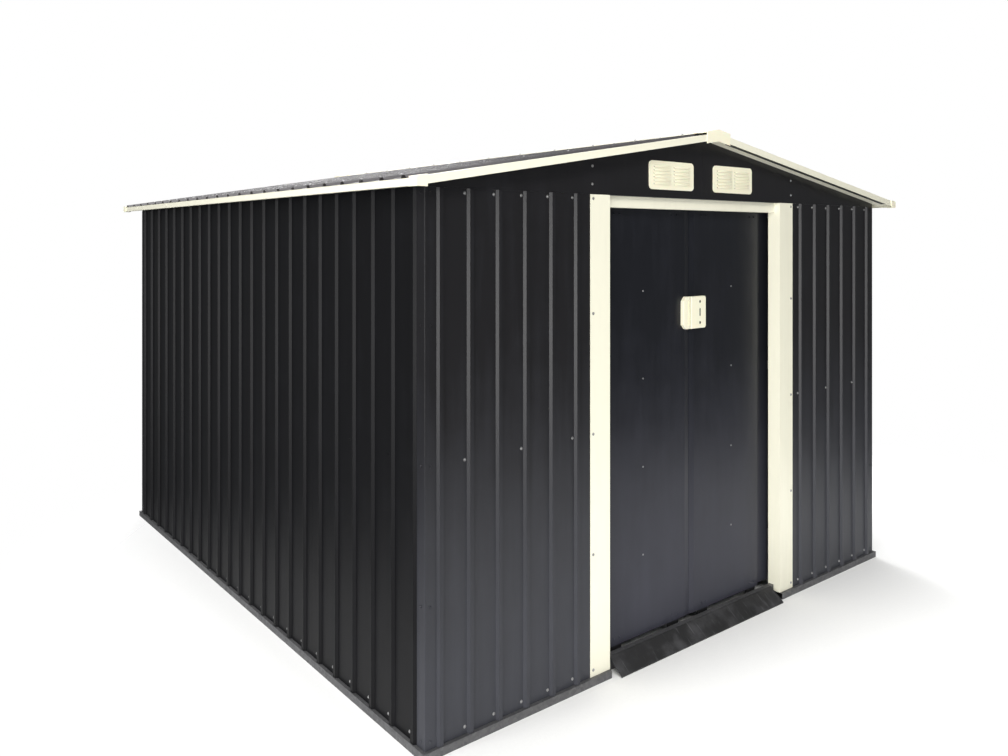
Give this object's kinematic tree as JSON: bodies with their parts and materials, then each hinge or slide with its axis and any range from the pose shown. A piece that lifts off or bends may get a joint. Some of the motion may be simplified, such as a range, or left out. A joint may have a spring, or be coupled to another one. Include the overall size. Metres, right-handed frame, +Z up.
{
  "type": "metal storage shed",
  "caption": "Square metal garden shed with ribbed charcoal walls, a low gable roof, cream trims, louvred vents and a pair of sliding doors.",
  "frame": {"origin": "centre of the shed's plan on the ground, at the foot of the base rails", "axes": "+X to the right seen from the front, along the doors' travel; +Y from the doors to the back wall; +Z up"},
  "size_m": [2.7264, 2.7102, 1.8798],
  "materials": {
    "galvanised": "satin",
    "charcoal_paint": "satin",
    "roof_paint": "satin",
    "door_paint": "gloss",
    "cream_paint": "satin",
    "cream_plastic": "matte",
    "black_plastic": "matte"
  },
  "bodies": {
    "shed": {"back_wall": "charcoal_paint", "base_rail_back": "galvanised", "base_rail_front_left": "galvanised", "base_rail_front_right": "galvanised", "base_rail_left": "galvanised", "base_rail_right": "galvanised", "corner_post_back_left": "charcoal_paint", "corner_post_back_right": "charcoal_paint", "corner_post_front_left": "charcoal_paint", "corner_post_front_right": "charcoal_paint", "door_bottom_track": "galvanised", "door_header": "cream_paint", "door_jamb_left": "cream_paint", "door_jamb_right": "cream_paint", "door_threshold": "galvanised", "door_track": "galvanised", "eave_corner_caps": "cream_plastic", "eave_trim_left": "cream_paint", "eave_trim_right": "cream_paint", "front_wall_left": "charcoal_paint", "front_wall_right": "charcoal_paint", "gable_back_left": "charcoal_paint", "gable_back_right": "charcoal_paint", "gable_front_left": "charcoal_paint", "gable_front_right": "charcoal_paint", "left_wall": "charcoal_paint", "mid_rails": "galvanised", "rake_trims_back": "cream_paint", "rake_trims_front": "cream_paint", "ridge_beam": "galvanised", "ridge_cap": "cream_paint", "ridge_end_caps": "cream_plastic", "right_wall": "charcoal_paint", "roof_left": "roof_paint", "roof_purlins": "galvanised", "roof_right": "roof_paint", "threshold_ramp": "charcoal_paint", "top_rails": "galvanised", "vent_left": "cream_plastic", "vent_right": "cream_plastic"},
    "door_left": {"door_leaf_left": "door_paint", "door_handle_left": "cream_plastic", "door_hangers_left": "black_plastic"},
    "door_right": {"door_leaf_right": "door_paint", "door_handle_right": "cream_plastic", "door_hangers_right": "black_plastic"}
  },
  "joints": [
    {"name": "door_left_slide", "type": "slide", "parent": "shed", "child": "door_left", "axis": [-1, 0, 0], "range_m": [0, 0.457]},
    {"name": "door_right_slide", "type": "slide", "parent": "shed", "child": "door_right", "axis": [1, 0, 0], "range_m": [0, 0.427]}
  ]
}
